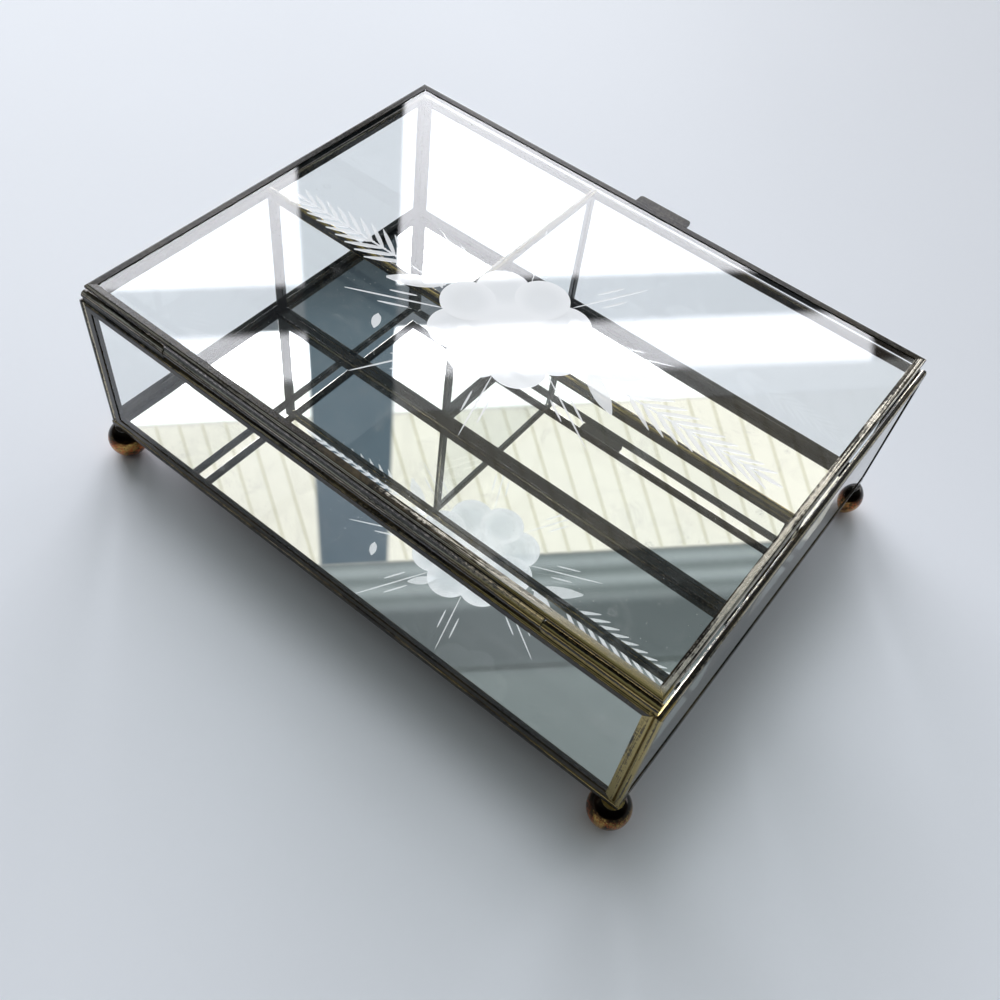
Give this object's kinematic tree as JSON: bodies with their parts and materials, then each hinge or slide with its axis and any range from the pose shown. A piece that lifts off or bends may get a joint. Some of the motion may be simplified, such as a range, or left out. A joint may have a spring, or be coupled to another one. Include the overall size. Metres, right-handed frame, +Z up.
{
  "type": "glass casket box",
  "caption": "Low glass box with brass-channel edges, a hinged lid with a cut flower, a mirror floor, inner dividers and ball feet.",
  "frame": {"origin": "on the table, under the middle of the box's footprint", "axes": "+X along the box's width, to the right as seen from the front; +Y from the front wall with the lift tab to the back wall with the hinge; +Z up"},
  "size_m": [0.1868, 0.1428, 0.065],
  "materials": {
    "channel_brass": "aged folded brass, dark brown patina with worn golden and grey highlights",
    "foot_brass": "aged brass with a reddish-brown patina",
    "clear_glass": "clear flat pane",
    "floor_mirror": "silvered flat pane",
    "solder": "dull patinated solder"
  },
  "bodies": {
    "box": {"mirror_floor": "floor_mirror", "floor_front_channel": "channel_brass", "floor_back_channel": "channel_brass", "floor_left_channel": "channel_brass", "floor_right_channel": "channel_brass", "front_glass": "clear_glass", "front_top_channel": "channel_brass", "front_bottom_channel": "channel_brass", "front_left_channel": "channel_brass", "front_right_channel": "channel_brass", "back_glass": "clear_glass", "back_top_channel": "channel_brass", "back_bottom_channel": "channel_brass", "back_left_channel": "channel_brass", "back_right_channel": "channel_brass", "left_glass": "clear_glass", "left_top_channel": "channel_brass", "left_bottom_channel": "channel_brass", "left_front_channel": "channel_brass", "left_back_channel": "channel_brass", "right_glass": "clear_glass", "right_top_channel": "channel_brass", "right_bottom_channel": "channel_brass", "right_front_channel": "channel_brass", "right_back_channel": "channel_brass", "long_divider_glass": "clear_glass", "long_divider_cap": "channel_brass", "long_divider_base": "channel_brass", "long_divider_left_channel": "channel_brass", "long_divider_right_channel": "channel_brass", "cross_divider_glass": "clear_glass", "cross_divider_cap": "channel_brass", "cross_divider_base": "channel_brass", "cross_divider_front_channel": "channel_brass", "cross_divider_back_channel": "channel_brass", "left_knuckle": "channel_brass", "right_knuckle": "channel_brass", "hinge_pin": "channel_brass", "left_seam": "solder", "right_seam": "solder", "foot_front_left": "foot_brass", "foot_front_right": "foot_brass", "foot_back_left": "foot_brass", "foot_back_right": "foot_brass", "collar_front_left": "solder", "collar_front_right": "solder", "collar_back_left": "solder", "collar_back_right": "solder"},
    "lid": {"lid_glass": "clear_glass", "lid_front_channel": "channel_brass", "lid_back_channel": "channel_brass", "lid_left_channel": "channel_brass", "lid_right_channel": "channel_brass", "lift_tab": "channel_brass", "lid_knuckle": "channel_brass", "lid_seam": "solder"}
  },
  "joints": [
    {"name": "lid_hinge", "type": "hinge", "parent": "box", "child": "lid", "pos_m": [0, 0.0665, 0.0619], "axis": [-1, 0, 0], "range_deg": [0, 120]}
  ]
}
